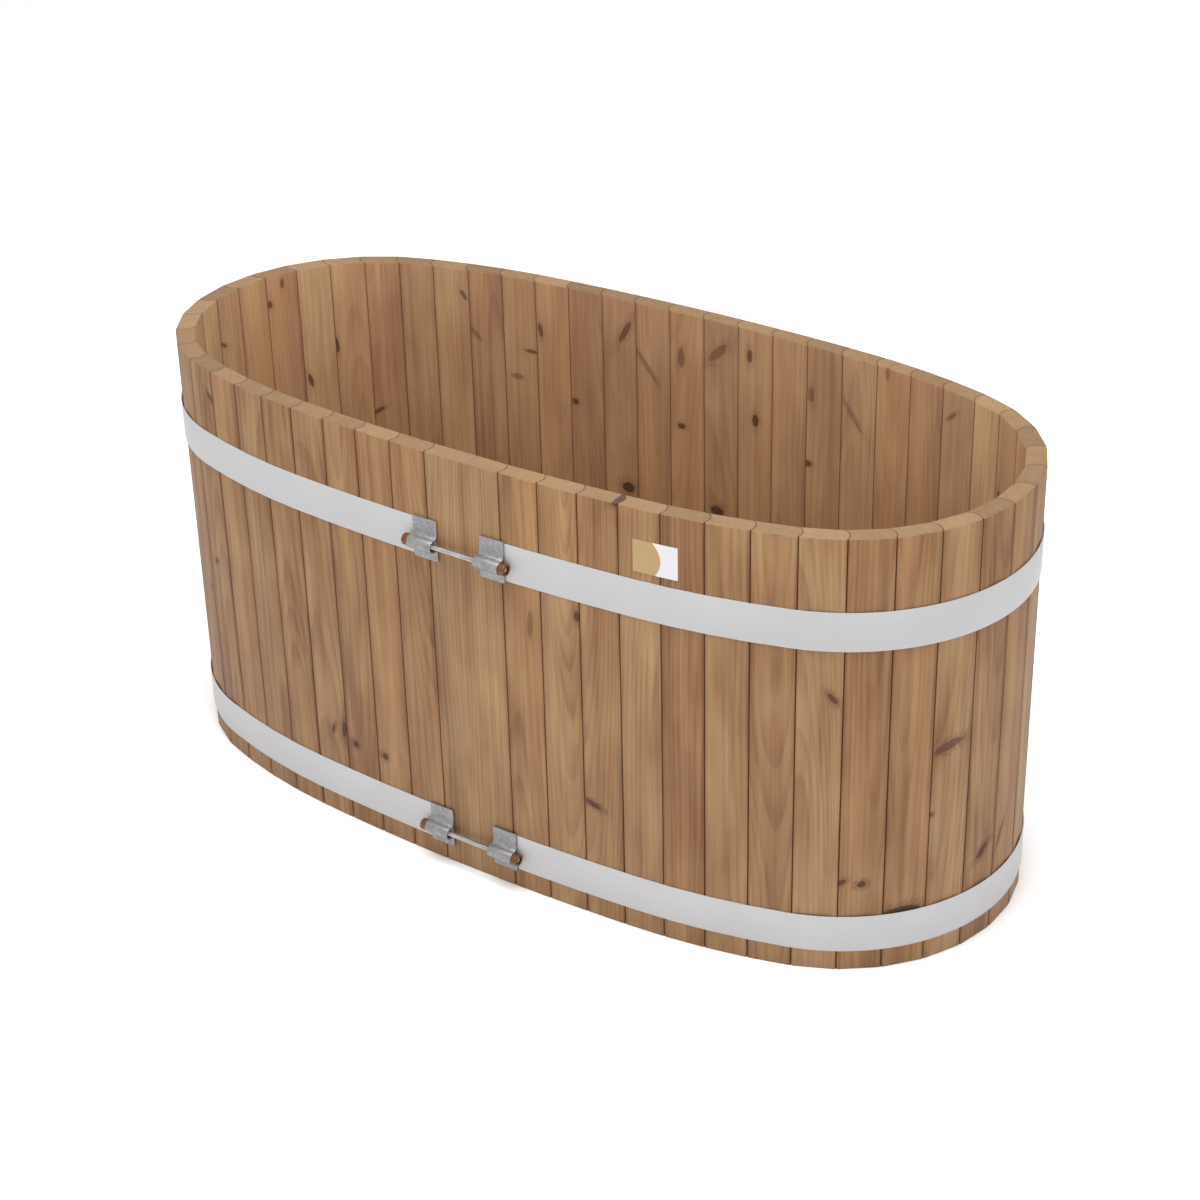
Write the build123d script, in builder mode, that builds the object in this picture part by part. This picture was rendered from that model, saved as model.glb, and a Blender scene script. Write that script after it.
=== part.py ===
"""Oval wooden plunge tub: bead-and-cove staves held by two screw-tightened steel hoops.

The tub stands on z = 0, its long axis lies along X, and the hoop clamps are on the -Y side.
"""

import os
from math import cos, radians, sin

from build123d import *

# Tub outline: an oval of three radii, taken at the outer corners of the staves
height = 700
side_radius = 3875
shoulder_radius = 1050
end_radius = 289
half_side_angle = 4.5
shoulder_angle = 13
end_angle = 180 - 2 * (half_side_angle + shoulder_angle)

# Staves
wall = 31
stave_count = 54
wide_stave_centre = 20.5
arris = 3
bead_rise = 4
rim_chamfer = 3
staves_per_node = 3

# Floor, let into a groove round the inside of the staves
floor_low = 46
floor_thickness = 30
floor_groove = 8
floor_inset = 25.5
board_count = 7
tongue_width = 7
tongue_thickness = 9
bearer_width = 70
bearer_places = (-420, 0, 420)
bearer_clearance = 2
bearer_chamfer = 4

# Hoops
hoop_width = 60
hoop_thickness = 1.2
upper_hoop_centre = 560.5
lower_hoop_centre = 63.5

# Clamps that close each hoop
clip_height = 66
clip_width = 43.5
clip_sheet = 2
left_clip_outer_end = -70.5
right_clip_outer_end = 94.5
hoop_end_overlap = 40
channel_radius = 8
channel_drop = 5
channel_offset = 9.6
upper_fillet = 7
lower_fillet = 3
rod_radius = 4
rod_recess = 1.5
nut_radius = 9
nut_length = 11
nut_bore_clearance = 0.05
socket_width = 10
socket_depth = 4
seating_gap = 0.05

# Drain, through the middle floor board near the -X end
drain_x = -560
flange_radius = 40
flange_thickness = 4
thread_radius = 23.9
spigot_radius = 20
spigot_low = 8
waterway_radius = 17.5
floor_hole_radius = 25
back_nut_width = 60
back_nut_height = 10
back_nut_clearance = 0.05
plug_body_radius = 17.2
plug_body_depth = 12
plug_rim_radius = 24
plug_rim_thickness = 5
plug_tab_length = 26
plug_tab_thickness = 4
plug_tab_height = 15
plug_gap = 0.3

shoulder_turn = half_side_angle + shoulder_angle
half_width = (
    side_radius
    - (side_radius - shoulder_radius) * cos(radians(half_side_angle))
    - (shoulder_radius - end_radius) * cos(radians(shoulder_turn))
)
half_length = (
    end_radius
    + (side_radius - shoulder_radius) * sin(radians(half_side_angle))
    + (shoulder_radius - end_radius) * sin(radians(shoulder_turn))
)
floor_high = floor_low + floor_thickness


def oval_path(inset):
    """Closed path that starts at the middle of the -Y side and runs anticlockwise."""
    side = (side_radius - inset, half_side_angle)
    shoulder = (shoulder_radius - inset, shoulder_angle)
    end = (end_radius - inset, end_angle)
    with BuildLine() as path:
        place = (0, inset - half_width)
        heading = (1, 0)
        for radius, turn in (side, shoulder, end, shoulder, side) * 2:
            arc = JernArc(place, heading, radius, turn)
            place = arc @ 1
            heading = arc % 1
    return path


def oval_blank(inset, low, high):
    """Solid that fills the oval between two heights."""
    with BuildPart() as blank:
        with BuildSketch(Plane.XY.offset(low)):
            with BuildLine():
                add(oval_path(inset).line)
            make_face()
        extrude(amount=high - low)
    return blank.part


def save(piece, name):
    piece.label = name
    export_step(piece, f"parts/{name}.step")


def save_group(pieces, name):
    save(Compound(label=name, children=pieces), name)


os.makedirs("parts", exist_ok=True)

# Staves: flat boards with a bead on one edge and a cove on the other. One on the -Y side is
# twice as wide, and the joints are numbered from there, anticlockwise seen from above.
rim_path = oval_path(0).wires()[0]
stave_pitch = rim_path.length / (stave_count + 1)


def joint_at(number):
    """Outer corner, direction of travel and outward direction at a stave joint."""
    distance = wide_stave_centre + (number + (0 if number else -1)) * stave_pitch
    distance = distance % rim_path.length
    corner = rim_path.position_at(distance, position_mode=PositionMode.LENGTH)
    onward = rim_path.tangent_at(distance, position_mode=PositionMode.LENGTH)
    return corner, onward, onward.rotate(Axis.Z, -90)


def joint_curve(joint, reverse):
    """Edge profile shared by two staves, from the outer face to the inner one or back."""
    corner, onward, outward = joint
    profile = [
        corner - outward * arris,
        corner - outward * (arris + wall) / 2 + onward * bead_rise,
        corner - outward * wall,
    ]
    if reverse:
        profile.reverse()
    ThreePointArc(*profile)
    return profile


def make_stave(number):
    first = joint_at(number)
    last = joint_at(number + 1)
    face_along = (last[0] - first[0]).normalized()
    with BuildPart() as stave:
        with BuildSketch():
            with BuildLine():
                last_edge = joint_curve(last, reverse=False)
                first_edge = joint_curve(first, reverse=True)
                Line(last_edge[-1], first_edge[0])
                Polyline(
                    first_edge[-1],
                    first[0] + face_along * arris,
                    last[0] - face_along * arris,
                    last_edge[0],
                )
            make_face()
        extrude(amount=height)
        along_face = stave.edges().group_by(Axis.Z)[-1].filter_by(
            lambda edge: abs(edge.tangent_at(0.5).dot(face_along)) > cos(radians(1))
        )
        chamfer(along_face, rim_chamfer)
        # Groove for the floor, sawn straight across the inner face and out at both edges
        with BuildSketch(Plane.XY.offset(floor_low)):
            with BuildLine():
                Polyline(
                    first[0] - first[2] * (wall - floor_groove) - face_along * floor_groove,
                    last[0] - last[2] * (wall - floor_groove) + face_along * floor_groove,
                    last[0] - last[2] * 2 * wall + face_along * floor_groove,
                    first[0] - first[2] * 2 * wall - face_along * floor_groove,
                    close=True,
                )
            make_face()
        extrude(amount=floor_thickness, mode=Mode.SUBTRACT)
    stave.part.label = f"stave_{number + 1:02d}"
    return stave.part


for first_number in range(0, stave_count, staves_per_node):
    numbers = range(first_number, first_number + staves_per_node)
    staves = [make_stave(number) for number in numbers]
    save_group(staves, f"staves_{numbers[0] + 1:02d}_{numbers[-1] + 1:02d}")

# Floor: tongued and grooved boards that run the length of the tub and end in the groove
floor_blank = oval_blank(floor_inset, floor_low, floor_high)
floor_width = 2 * (half_width - floor_inset)
board_width = floor_width / board_count
floor_middle = floor_low + floor_thickness / 2
board_centres = [(index - (board_count - 1) / 2) * board_width for index in range(board_count)]

for index, centre in enumerate(board_centres):
    with BuildPart() as board:
        with BuildSketch(Plane.YZ):
            with Locations((centre, floor_middle)):
                Rectangle(board_width, floor_thickness)
            if index > 0:
                with Locations((centre - (board_width - tongue_width) / 2, floor_middle)):
                    Rectangle(tongue_width, tongue_thickness, mode=Mode.SUBTRACT)
            if index < board_count - 1:
                with Locations((centre + (board_width + tongue_width) / 2, floor_middle)):
                    Rectangle(tongue_width, tongue_thickness)
        extrude(amount=half_length, both=True)
        add(floor_blank, mode=Mode.INTERSECT)
        if index == board_count // 2:
            with Locations((drain_x, centre, floor_high)):
                Hole(floor_hole_radius)
    save(board.part, f"floor_board_{index + 1}")

# Bearers: crosswise under the floor, level with the ends of the staves
inner_blank = oval_blank(wall + bearer_clearance, 0, floor_low)
for bearer_x, name in zip(bearer_places, ("drain_end", "middle", "head_end")):
    with BuildPart() as bearer:
        with Locations((bearer_x, 0, floor_low / 2)):
            Box(bearer_width, 2 * half_width, floor_low)
        chamfer(bearer.edges().filter_by(Axis.Y).group_by(Axis.Z)[0], bearer_chamfer)
        add(inner_blank, mode=Mode.INTERSECT)
    save(bearer.part, f"bearer_{name}")

# Hoops: flat steel strap drawn round the staves, open between its two clamp clips
clips = {
    "left": (left_clip_outer_end, 1),
    "right": (right_clip_outer_end, -1),
}
gap_left = left_clip_outer_end + hoop_end_overlap
gap_right = right_clip_outer_end - hoop_end_overlap
clip_back = -(half_width + hoop_thickness)
channel_y = clip_back - channel_offset

for level, centre in (("upper", upper_hoop_centre), ("lower", lower_hoop_centre)):
    low = centre - hoop_width / 2
    high = centre + hoop_width / 2
    channel_z = centre - channel_drop
    strap_outside = oval_blank(-hoop_thickness, centre - clip_height, centre + clip_height)
    with BuildPart() as hoop:
        add(oval_blank(-hoop_thickness, low, high))
        add(oval_blank(0, low, high), mode=Mode.SUBTRACT)
        with BuildSketch(Plane.XY.offset(low)):
            with Locations(((gap_left + gap_right) / 2, -half_width)):
                Rectangle(gap_right - gap_left, wall)
        extrude(amount=hoop_width, mode=Mode.SUBTRACT)
    save(hoop.part, f"{level}_hoop")

    for side, (outer_end, inward) in clips.items():
        # Clip: pressed to a hat section whose channel holds the nut and lets the rod through
        with BuildPart() as clip:
            with BuildSketch(Plane.YZ.offset(outer_end)):
                with Locations((clip_back, centre)):
                    Rectangle(2 * clip_sheet, clip_height)
                with Locations((channel_y, channel_z)):
                    Circle(channel_radius + clip_sheet)
                with Locations(((channel_y + clip_back) / 2, channel_z)):
                    Rectangle(channel_offset, 2 * (channel_radius + clip_sheet))
                roots = vertices().filter_by(
                    lambda corner: abs(corner.X - clip_back + clip_sheet) < seating_gap
                    and abs(corner.Y - channel_z) < 2 * channel_radius
                )
                roots = roots.sort_by(Axis.Y)
                fillet(roots[-1], upper_fillet)
                fillet(roots[0], lower_fillet)
                with Locations((channel_y, channel_z)):
                    Circle(channel_radius, mode=Mode.SUBTRACT)
                with Locations(((channel_y + clip_back + clip_sheet) / 2, channel_z)):
                    Rectangle(
                        channel_offset + clip_sheet,
                        2 * channel_radius,
                        mode=Mode.SUBTRACT,
                    )
            extrude(amount=inward * clip_width)
            add(strap_outside, mode=Mode.SUBTRACT)
        save(clip.part, f"{level}_{side}_clip")

        # Round nut with a hexagon socket, drawn up against the outer end of the channel
        seat_face = Plane(
            origin=(outer_end - inward * seating_gap, channel_y, channel_z),
            z_dir=(-inward, 0, 0),
        )
        with BuildPart() as nut:
            with BuildSketch(seat_face):
                Circle(nut_radius)
                Circle(rod_radius + nut_bore_clearance, mode=Mode.SUBTRACT)
            extrude(amount=nut_length)
            with BuildSketch(seat_face.offset(nut_length)):
                RegularPolygon(socket_width / 2, 6, major_radius=False)
            extrude(amount=-socket_depth, mode=Mode.SUBTRACT)
        save(nut.part, f"{level}_{side}_nut")

    # Rod: screwed through both nuts and ending just inside their faces
    rod_overhang = seating_gap + nut_length - rod_recess
    rod_left = left_clip_outer_end - rod_overhang
    rod_right = right_clip_outer_end + rod_overhang
    with BuildPart() as rod:
        with BuildSketch(Plane.YZ.offset(rod_left)):
            with Locations((channel_y, channel_z)):
                Circle(rod_radius)
        extrude(amount=rod_right - rod_left)
    save(rod.part, f"{level}_tension_rod")

# Drain: a flanged fitting clamped through the floor by a back nut, shut by a rubber plug
seat_top = floor_high + flange_thickness
back_nut_low = floor_low - back_nut_height
drain_axis = Axis((drain_x, 0, 0), (0, 0, 1))

with BuildPart() as drain_fitting:
    with BuildSketch(Plane.XZ):
        with BuildLine():
            Polyline(
                (drain_x + waterway_radius, spigot_low),
                (drain_x + spigot_radius, spigot_low),
                (drain_x + spigot_radius, back_nut_low),
                (drain_x + thread_radius, back_nut_low),
                (drain_x + thread_radius, floor_high),
                (drain_x + flange_radius, floor_high),
                (drain_x + flange_radius, seat_top),
                (drain_x + waterway_radius, seat_top),
                close=True,
            )
        make_face()
    revolve(axis=drain_axis)
save(drain_fitting.part, "drain_fitting")

with BuildPart() as drain_back_nut:
    with BuildSketch(Plane.XY.offset(back_nut_low)):
        with Locations((drain_x, 0)):
            RegularPolygon(back_nut_width / 2, 6, major_radius=False)
            Circle(thread_radius + back_nut_clearance, mode=Mode.SUBTRACT)
    extrude(amount=back_nut_height)
save(drain_back_nut.part, "drain_back_nut")

plug_seat = seat_top + plug_gap
plug_top = plug_seat + plug_rim_thickness
with BuildPart() as drain_plug:
    with BuildSketch(Plane.XY.offset(plug_seat)):
        with Locations((drain_x, 0)):
            Circle(plug_body_radius)
    extrude(amount=-plug_body_depth)
    with BuildSketch(Plane.XY.offset(plug_seat)):
        with Locations((drain_x, 0)):
            Circle(plug_rim_radius)
    extrude(amount=plug_rim_thickness)
    with BuildSketch(Plane.XY.offset(plug_top)):
        with Locations((drain_x, 0)):
            Rectangle(plug_tab_thickness, plug_tab_length)
    extrude(amount=plug_tab_height)
    tab_corners = drain_plug.edges().filter_by(Axis.X).group_by(Axis.Z)[-1]
    chamfer(tab_corners, plug_tab_thickness)
save(drain_plug.part, "drain_plug")
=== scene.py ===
"""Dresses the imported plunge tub, piece by piece in the order it is put together."""

import random
from math import asin, cos, pi, radians, sin, sqrt

import bmesh
import bpy
from mathutils import Matrix, Vector


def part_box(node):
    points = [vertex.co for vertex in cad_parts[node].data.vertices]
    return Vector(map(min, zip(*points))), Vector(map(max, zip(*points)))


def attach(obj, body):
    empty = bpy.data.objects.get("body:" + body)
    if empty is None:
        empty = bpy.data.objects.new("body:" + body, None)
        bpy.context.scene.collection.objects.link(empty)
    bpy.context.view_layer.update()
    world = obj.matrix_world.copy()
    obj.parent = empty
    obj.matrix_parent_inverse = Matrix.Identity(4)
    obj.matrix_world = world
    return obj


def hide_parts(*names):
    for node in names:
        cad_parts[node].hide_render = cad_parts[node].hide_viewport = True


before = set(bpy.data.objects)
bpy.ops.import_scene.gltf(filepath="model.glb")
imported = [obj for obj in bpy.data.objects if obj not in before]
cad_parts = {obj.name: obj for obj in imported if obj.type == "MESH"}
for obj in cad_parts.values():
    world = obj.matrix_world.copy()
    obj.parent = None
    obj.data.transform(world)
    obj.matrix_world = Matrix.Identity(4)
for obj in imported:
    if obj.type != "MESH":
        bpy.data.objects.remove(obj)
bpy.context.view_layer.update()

# Staves. Fifty-four upright softwood boards, planed with a bead on one edge and a cove on the
# other, so that each turns on its neighbour. One, behind the clamps, is twice as wide. They
# stand loose in a ring, grooved inside for the floor, until the hoops draw them tight.
mm = 0.001
tub_height = 700 * mm
wall = 31 * mm
arris = 3 * mm
rim_easing = 2.4 * mm
foot_easing = 1 * mm
bead_radius = 20.9 * mm
bead_crown_depth = 13.81 * mm
bead_rows = 8
joint_gap = 0.12 * mm
smooth_below = radians(32)
floor_low = 46 * mm
floor_high = 76 * mm
groove_depth = 8 * mm
stave_count = 54
staves_per_node = 3
wide_stave_centre = 20.5 * mm
half_width = 332.93 * mm
side_arc = (3875 * mm, radians(4.5))
shoulder_arc = (1050 * mm, radians(13))
end_arc = (289 * mm, radians(145))
oval_arcs = [side_arc, shoulder_arc, end_arc, shoulder_arc, side_arc] * 2
oval_length = sum(radius * turn for radius, turn in oval_arcs)
stave_width = oval_length / (stave_count + 1)


def oval_at(distance):
    """Point, onward and outward direction at a distance along the staves' outer corners."""
    distance = distance % oval_length
    point = Vector((0, -half_width, 0))
    heading = 0
    for radius, turn in oval_arcs:
        centre = point + radius * Vector((-sin(heading), cos(heading), 0))
        run = min(distance, radius * turn)
        heading += run / radius
        point = centre + radius * Vector((sin(heading), -cos(heading), 0))
        distance -= run
        if distance <= 0:
            break
    onward = Vector((cos(heading), sin(heading), 0))
    outward = Vector((sin(heading), -cos(heading), 0))
    return point, onward, outward


def joint_at(number):
    """The oval's point and directions at a joint, counted from the wide stave."""
    widths_on = number if number else -1
    return oval_at(wide_stave_centre + widths_on * stave_width)


bead_inset = sqrt(bead_radius**2 - (bead_crown_depth - arris) ** 2)


def bead_at(depth):
    """How far the bead's round edge stands out of the board's outer corner at a depth."""
    return sqrt(bead_radius**2 - (depth - bead_crown_depth) ** 2) - bead_inset


def choose(piece):
    bpy.ops.object.select_all(action="DESELECT")
    piece.select_set(True)
    bpy.context.view_layer.objects.active = piece


def add(name, primitive, scale=(1, 1, 1), **settings):
    """Adds a primitive and works its place, turn and size into its mesh."""
    bpy.ops.object.select_all(action="DESELECT")
    primitive(**settings)
    piece = bpy.context.object
    piece.name = name
    piece.data.name = name
    piece.scale = scale
    bpy.ops.object.transform_apply(location=True, rotation=True, scale=True)
    return piece


def edit(piece):
    """Opens a piece for editing with nothing on it selected."""
    choose(piece)
    bpy.ops.object.mode_set(mode="EDIT")
    bpy.ops.mesh.select_all(action="DESELECT")


def close(piece):
    """Ends editing and smooths the shading over the gentle edges."""
    if bpy.context.mode != "OBJECT":
        bpy.ops.object.mode_set(mode="OBJECT")
    choose(piece)
    bpy.ops.object.shade_smooth_by_angle(angle=smooth_below)
    return piece


def pick(kind, wanted):
    """Selects the vertices, edges or faces whose middle passes a test, and nothing else."""
    bpy.ops.mesh.select_mode(type=kind)
    bpy.ops.mesh.select_all(action="DESELECT")
    mesh = bmesh.from_edit_mesh(bpy.context.object.data)
    for part in {"VERT": mesh.verts, "EDGE": mesh.edges, "FACE": mesh.faces}[kind]:
        if kind == "FACE":
            middle = part.calc_center_median()
        elif kind == "EDGE":
            middle = (part.verts[0].co + part.verts[1].co) / 2
        else:
            middle = part.co
        if wanted(middle):
            part.select_set(True)
    mesh.select_flush_mode()
    bmesh.update_edit_mesh(bpy.context.object.data)


def extrude(by):
    bpy.ops.mesh.extrude_region_move(TRANSFORM_OT_translate={"value": by})


def modify(piece, kind, **settings):
    """Adds a modifier and applies it."""
    choose(piece)
    modifier = piece.modifiers.new(kind.title(), kind)
    for setting, value in settings.items():
        setattr(modifier, setting, value)
    bpy.ops.object.modifier_apply(modifier=modifier.name)


def cut(piece, cutter):
    """Cuts the shape of one piece out of another and throws the cutter away."""
    modify(piece, "BOOLEAN", object=cutter, operation="DIFFERENCE", solver="EXACT")
    bpy.data.objects.remove(cutter)


def copy_of(piece, name):
    """A copy with a mesh of its own, free of what the first rides on."""
    mesh = piece.data.copy()
    mesh.name = name
    twin = bpy.data.objects.new(name, mesh)
    bpy.context.collection.objects.link(twin)
    return twin


def near(value, target, within=0.05 * mm):
    return abs(value - target) < within


def mark(piece, name, values):
    """Keeps a vector for each point of a mesh, for its finish to read."""
    kept = piece.data.attributes.new(name, "FLOAT_VECTOR", "POINT")
    kept.data.foreach_set("vector", [number for value in values for number in value])


def mark_all(piece, name, value):
    mark(piece, name, [value] * len(piece.data.vertices))


def fit(piece, body, finish, nodes=()):
    """Gives a finished piece its material, its body and the CAD nodes it stands for."""
    piece.data.materials.clear()
    piece.data.materials.append(finish)
    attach(piece, body)
    if nodes:
        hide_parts(*nodes)


flat_stave = add(
    "flat_stave",
    bpy.ops.mesh.primitive_plane_add,
    (stave_width, wall, 1),
    size=1,
    location=(stave_width / 2, wall / 2, 0),
)
edit(flat_stave)
pick("EDGE", lambda middle: near(middle.y, wall / 2))
bpy.ops.mesh.subdivide(number_cuts=bead_rows - 1)
pick("VERT", lambda middle: near(middle.y, 0))
bpy.ops.mesh.bevel(offset=arris, segments=3, affect="VERTICES")
for row in range(1, bead_rows + 1):
    row_depth = wall * row / bead_rows
    pick("VERT", lambda middle: near(middle.y, row_depth))
    bpy.ops.transform.translate(value=(bead_at(row_depth), 0, 0))
bpy.ops.mesh.select_all(action="SELECT")
extrude((0, 0, tub_height))
bpy.ops.mesh.select_all(action="SELECT")
bpy.ops.mesh.normals_make_consistent(inside=False)
for level, easing in ((tub_height, rim_easing), (0, foot_easing)):
    pick(
        "EDGE",
        lambda middle: near(middle.z, level)
        and (middle.y < arris or near(middle.y, wall)),
    )
    bpy.ops.mesh.bevel(offset=easing, segments=2, affect="EDGES")
bpy.ops.object.mode_set(mode="OBJECT")
groove_cutter = add(
    "groove_cutter",
    bpy.ops.mesh.primitive_cube_add,
    (3 * stave_width, 2 * groove_depth, floor_high - floor_low),
    size=1,
    location=(stave_width / 2, wall, (floor_low + floor_high) / 2),
)
cut(flat_stave, groove_cutter)


def stand(stave, number):
    """Bends a flat stave's two edges to the joints it stands between, and returns its width."""
    first = joint_at(number)
    last = joint_at(number + 1)
    face = last[0] - first[0]
    width = face.length
    face_direction = face.normalized()
    places = []
    for vertex in stave.data.vertices:
        across, depth, up = vertex.co
        on_last_edge = across > stave_width / 2
        corner, onward, outward = last if on_last_edge else first
        step = across - stave_width - joint_gap if on_last_edge else across + joint_gap
        direction = onward if depth > arris else face_direction
        vertex.co = corner - outward * depth + direction * step + Vector((0, 0, up))
        places.append((across + width - stave_width if on_last_edge else across, depth, up))
    mark(stave, "board", places)
    return width


class Wire:
    """A value that runs between two nodes, so that a finish can be written as sums."""

    def __init__(self, finish, socket):
        self.finish = finish
        self.socket = socket

    def maths(self, operation, *values):
        return self.finish.node("Math", {"operation": operation}, dict(enumerate(values)))

    def __add__(self, other):
        return self.maths("ADD", self, other)

    def __sub__(self, other):
        return self.maths("SUBTRACT", self, other)

    def __rsub__(self, other):
        return self.maths("SUBTRACT", other, self)

    def __mul__(self, other):
        return self.maths("MULTIPLY", self, other)

    def __truediv__(self, other):
        return self.maths("DIVIDE", self, other)

    __radd__ = __add__
    __rmul__ = __mul__

    def least(self, other):
        return self.maths("MINIMUM", self, other)

    def most(self, other):
        return self.maths("MAXIMUM", self, other)

    def limited(self):
        """The value, held between 0 and 1."""
        return self.most(0).least(1)

    def of(self, operation):
        """The sine, cosine, fraction or root of a value."""
        return self.maths(operation, self)

    def rise(self, low, high):
        """Climbs smoothly from 0 at one value to 1 at another."""
        return self.finish.node(
            "MapRange",
            {"interpolation_type": "SMOOTHSTEP"},
            {"Value": self, "From Min": low, "From Max": high},
        )

    def parts(self):
        split = self.finish.node("SeparateXYZ", {}, {"Vector": self})
        outputs = split.socket.node.outputs
        return [Wire(self.finish, output) for output in outputs]


class Finish:
    """A material whose pattern is worked out by nodes."""

    def __init__(self, name):
        self.material = bpy.data.materials.new(name)
        self.material.use_nodes = True
        self.tree = self.material.node_tree
        self.shader = self.tree.nodes["Principled BSDF"]

    def node(self, kind, settings, sockets, output=0):
        """Adds a node, sets it up, then gives its sockets their values or links."""
        made = self.tree.nodes.new("ShaderNode" + kind)
        for setting, value in settings.items():
            if setting == "stops":
                self.set_stops(made.color_ramp, value)
            else:
                setattr(made, setting, value)
        for socket, value in sockets.items():
            self.feed(made.inputs[socket], value)
        return Wire(self, made.outputs[output])

    def set_stops(self, ramp, stops):
        for extra in stops[2:]:
            ramp.elements.new(extra[0])
        for element, (place, colour) in zip(ramp.elements, stops):
            element.position = place
            element.color = colour

    def feed(self, socket, value):
        if isinstance(value, Wire):
            self.tree.links.new(value.socket, socket)
        else:
            socket.default_value = value

    def surface(self, **values):
        """Feeds the shader's own sockets, named with _ for a space."""
        for name, value in values.items():
            self.feed(self.shader.inputs[name.replace("_", " ")], value)

    def kept(self, name):
        """A vector that the mesh keeps for each point."""
        return self.node("Attribute", {"attribute_name": name}, {}, output=1)

    def noise(self, x, y, z, detail=2, roughness=0.5):
        """Soft noise around 0, about 0.5 either way, one swell for each unit of length."""
        vector = self.node("CombineXYZ", {}, {0: x, 1: y, 2: z})
        swell = self.node(
            "TexNoise",
            {},
            {"Vector": vector, "Scale": 1, "Detail": detail, "Roughness": roughness},
        )
        return swell - 0.5

    def mix(self, share, first, second, blend="MIX"):
        settings = {"data_type": "RGBA", "blend_type": blend}
        return self.node("Mix", settings, {0: share, 6: first, 7: second}, output=2)

    def ramp(self, value, stops):
        return self.node("ValToRGB", {"stops": stops}, {"Fac": value})

    def relief(self, height, depth):
        """Raises the surface by a height that runs from 0 to 1, over a depth in metres."""
        bump = {"Height": height, "Distance": depth, "Strength": 1}
        self.surface(Normal=self.node("Bump", {}, bump))


def paint(red, green, blue):
    """A colour read off a screen, from 0 to 255, as the light it stands for."""
    light = [((value / 255 + 0.055) / 1.055) ** 2.4 for value in (red, green, blue)]
    return (*light, 1)


def planed_wood(name, colours, knot_colour, is_stave=False, ring_width=4.5 * mm):
    """Softwood sawn from a round trunk, with rings, fibres and up to three knots. A number beside
    across, depth, up or along is swells to the metre, and most others are shares of a full effect."""
    wood = Finish(name)
    across, depth, up = wood.kept("board").parts()
    pith_across, pith_depth, slope = wood.kept("pith").parts()
    tone, redness, seed = wood.kept("look").parts()
    width = wood.kept("width").parts()[0]
    along = up + seed

    knots = []
    halos = []
    for place in ("knot_1", "knot_2", "knot_3"):
        knot_across, knot_up, strength = wood.kept(place).parts()
        half_long, half_wide, lean = wood.kept(place + "_shape").parts()
        aside = across - knot_across
        above = up - knot_up
        lengthwise = (aside * lean.of("COSINE") + above * lean.of("SINE")) / half_long
        crosswise = (above * lean.of("COSINE") - aside * lean.of("SINE")) / half_wide
        reach = (lengthwise * lengthwise + crosswise * crosswise).of("SQRT")
        ragged = reach + wood.noise(across * 160, depth * 60, along * 160) * 0.4
        knots.append((1 - ragged.rise(0.9, 1.2)) * strength)
        halos.append((1 - ragged.rise(0.8, 3.2)) * strength)
    knot = knots[0].most(knots[1]).most(knots[2])
    halo = halos[0].most(halos[1]).most(halos[2])

    sway_across = wood.noise(across * 5, depth * 5, along * 1.5) * 0.035
    sway_depth = wood.noise(across * 5 + 9, depth * 5, along * 1.2) * 0.035
    from_pith_across = across - pith_across + sway_across
    from_pith_depth = depth - pith_depth + slope * up + sway_depth
    square = from_pith_across * from_pith_across + from_pith_depth * from_pith_depth
    radius = square.of("SQRT") + halo * halo * 0.007
    drift = wood.noise(radius * 60, 0, seed, detail=1)
    season = (radius / ring_width + drift * 1.5).of("FRACT")
    late_wood = season.rise(0.3, 0.92) * (1 - season.rise(0.92, 1))
    late_wood = late_wood * (0.55 + wood.noise(across * 30, depth * 30, along * 3))

    blotch = wood.noise(across * 26, depth * 18, along * 2.1)
    cloud = wood.noise(across * 20, depth * 18, along * 6.5)
    streak = wood.noise(across * 110, depth * 60, along * 1.3, detail=3, roughness=0.6)
    fibre = wood.noise(across * 700, depth * 700, along * 14)

    bulge = 0
    inside = 0
    if is_stave:
        from_crown = depth.most(arris) - bead_crown_depth
        bulge = (bead_radius**2 - from_crown * from_crown).of("SQRT") - bead_inset
        # The inner-face mask carries painted light: below, it lightens, reddens and tints the inner
        # faces, as painted warm bounce light in the hollow of the tub.
        inside = depth.rise(wall - 1 * mm, wall - 0.5 * mm)
    to_edge = (across - bulge).least(width + bulge - across)
    edge = 1 - to_edge.rise(0, 8 * mm)
    edge_line = 1 - to_edge.rise(0.3 * mm, 1.3 * mm)
    edge_shade = edge * (0.35 + wood.noise(seed, across * 20, along * 4)).most(0)

    brightness = 0.54 + tone + blotch * 0.7 + streak * 0.62 + fibre * 0.26 + inside * 0.14
    brightness = brightness - late_wood * 0.2 - edge_shade * 0.28 - halo * 0.22 + cloud * 0.45
    colour = wood.ramp(brightness, colours)
    reddening = redness + blotch * 0.8 - cloud * 0.9 + edge_shade * 0.4 + inside * 0.25
    colour = wood.mix(reddening.limited(), colour, paint(238, 214, 196), "MULTIPLY")
    if is_stave:
        # Painted warm bounce light: a lighter, pinkish tint over the inner faces.
        colour = wood.mix(inside * 0.15, colour, paint(187, 158, 135))
        foot = 1 - up.rise(0.3 * mm, 1.2 * mm)
        rim = up.rise(tub_height - 1.2 * mm, tub_height - 0.3 * mm)
        end_darkness = (0.4 - tone * 3 + late_wood * 0.5 + streak * 0.8).limited()
        end_colour = wood.mix(end_darkness, paint(134, 107, 75), paint(99, 75, 49))
        colour = wood.mix(rim.most(foot) * 0.9, colour, end_colour)
    colour = wood.mix(edge_line * 0.78, colour, paint(72, 43, 26))
    colour = wood.mix(knot * 0.92, colour, knot_colour)
    wood.surface(
        Base_Color=colour,
        Roughness=0.6 + fibre * 0.25 + knot * 0.1,
        Specular_IOR_Level=0.3,
    )
    wood.relief(0.5 + fibre * 0.5 + late_wood * 0.35 - edge_line * 0.4, 0.25 * mm)
    return wood.material


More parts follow.
